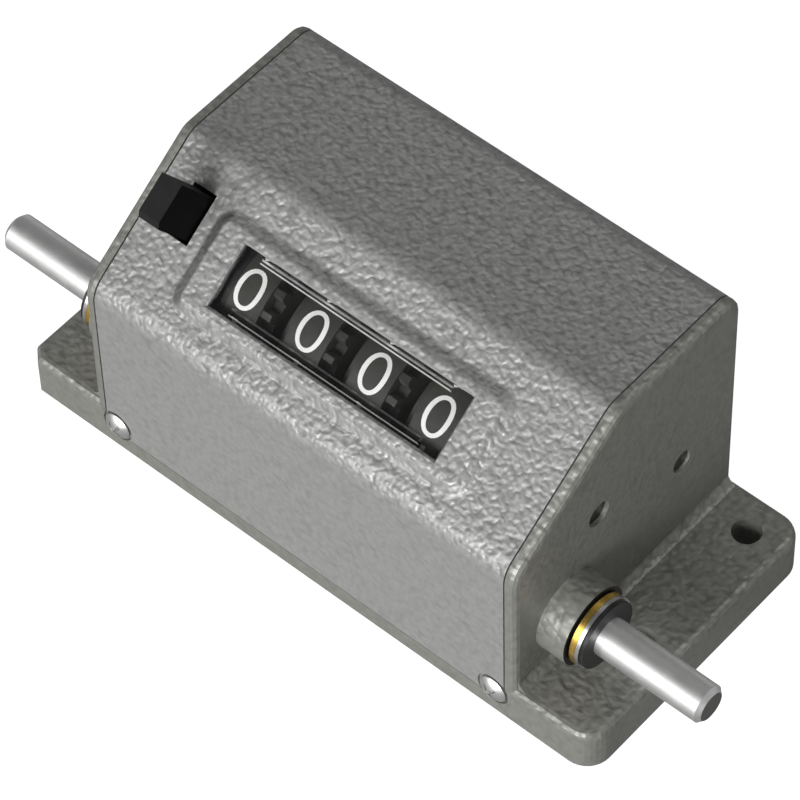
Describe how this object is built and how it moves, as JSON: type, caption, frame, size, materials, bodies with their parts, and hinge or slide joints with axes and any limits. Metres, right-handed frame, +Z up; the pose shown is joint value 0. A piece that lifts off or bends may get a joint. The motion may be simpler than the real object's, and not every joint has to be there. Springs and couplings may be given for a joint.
{
  "type": "mechanical counter",
  "caption": "Mechanical revolution counter with a through drive shaft, figure wheels behind a window in a sloping face, a zero push button and two end mounting flanges.",
  "frame": {"origin": "middle of the base's bottom face, halfway between the two mounting flanges", "axes": "+X along the drive shaft to the right seen from the front, +Y towards the back, +Z up from the mounting surface; the window faces front and up"},
  "size_m": [0.13, 0.05, 0.0539],
  "materials": {
    "painted_casting": "silver-grey hammertone paint",
    "painted_sheet": "silver-grey hammertone paint",
    "lens": "clear moulded window",
    "bright_screw": "zinc-plated steel",
    "brass": "turned brass",
    "dark_gasket": "matt black",
    "steel": "ground steel",
    "black_collar": "black oxide",
    "wheel_plastic": "dark moulding",
    "pinion_plastic": "natural moulding",
    "black_plastic": "black moulding"
  },
  "bodies": {
    "housing": {"base_casting": "painted_casting", "cover": "painted_sheet", "window_lens": "lens", "cover_screws": "bright_screw", "bearing_bushes": "brass", "bush_gaskets": "dark_gasket", "wheel_axle": "steel", "axle_spacers": "steel", "pinion_axle": "steel", "pinion_spacers": "steel", "pinion_bracket": "steel", "bracket_screws": "bright_screw", "reset_shaft": "steel", "button_guide": "steel", "guide_screw": "bright_screw", "button_spring": "steel"},
    "shaft": {"drive_shaft": "steel", "thrust_washers": "steel", "outer_collars": "black_collar", "inner_collars": "steel", "drive_gear": "brass", "gear_pin": "steel"},
    "units": {"units_wheel": "wheel_plastic", "driven_gear": "brass", "clutch_washer": "steel"},
    "tens": {"tens_wheel": "wheel_plastic"},
    "hundreds": {"hundreds_wheel": "wheel_plastic"},
    "thousands": {"thousands_wheel": "wheel_plastic"},
    "units_carry": {"units_pinion": "pinion_plastic"},
    "tens_carry": {"tens_pinion": "pinion_plastic"},
    "hundreds_carry": {"hundreds_pinion": "pinion_plastic"},
    "button": {"reset_button": "black_plastic"},
    "reset": {"reset_sleeve": "steel", "zeroing_hammers": "steel", "reset_lever": "steel"}
  },
  "joints": [
    {"name": "shaft_spin", "type": "hinge", "parent": "housing", "child": "shaft", "pos_m": [0, -0.01307, 0.01617], "axis": [1, 0, 0], "continuous": true},
    {"name": "units_spin", "type": "hinge", "parent": "housing", "child": "units", "pos_m": [0, -0.00618, 0.03061], "axis": [1, 0, 0], "continuous": true},
    {"name": "tens_spin", "type": "hinge", "parent": "housing", "child": "tens", "pos_m": [0, -0.00618, 0.03061], "axis": [1, 0, 0], "continuous": true},
    {"name": "hundreds_spin", "type": "hinge", "parent": "housing", "child": "hundreds", "pos_m": [0, -0.00618, 0.03061], "axis": [1, 0, 0], "continuous": true},
    {"name": "thousands_spin", "type": "hinge", "parent": "housing", "child": "thousands", "pos_m": [0, -0.00618, 0.03061], "axis": [1, 0, 0], "continuous": true},
    {"name": "units_carry_spin", "type": "hinge", "parent": "housing", "child": "units_carry", "pos_m": [0, -0.00168, 0.01588], "axis": [1, 0, 0], "continuous": true},
    {"name": "tens_carry_spin", "type": "hinge", "parent": "housing", "child": "tens_carry", "pos_m": [0, -0.00168, 0.01588], "axis": [1, 0, 0], "continuous": true},
    {"name": "hundreds_carry_spin", "type": "hinge", "parent": "housing", "child": "hundreds_carry", "pos_m": [0, -0.00168, 0.01588], "axis": [1, 0, 0], "continuous": true},
    {"name": "button_press", "type": "slide", "parent": "housing", "child": "button", "axis": [0, 0.5736, -0.8192], "range_m": [0, 0.004], "stiffness_N_per_m": 500, "springref_m": -0.003, "deforming": ["button_spring"]},
    {"name": "reset_swing", "type": "hinge", "parent": "housing", "child": "reset", "pos_m": [0, 0.01199, 0.02381], "axis": [1, 0, 0], "range_deg": [0, 42]}
  ],
  "couplings": [
    {"joint": "units_spin", "follows": "shaft_spin", "ratio": -1},
    {"joint": "tens_spin", "follows": "shaft_spin", "ratio": -0.1},
    {"joint": "hundreds_spin", "follows": "shaft_spin", "ratio": -0.01},
    {"joint": "thousands_spin", "follows": "shaft_spin", "ratio": -0.001},
    {"joint": "units_carry_spin", "follows": "shaft_spin", "ratio": 0.25},
    {"joint": "tens_carry_spin", "follows": "shaft_spin", "ratio": 0.025},
    {"joint": "hundreds_carry_spin", "follows": "shaft_spin", "ratio": 0.0025},
    {"joint": "reset_swing", "follows": "button_press", "rad_per_m": 171.93}
  ]
}
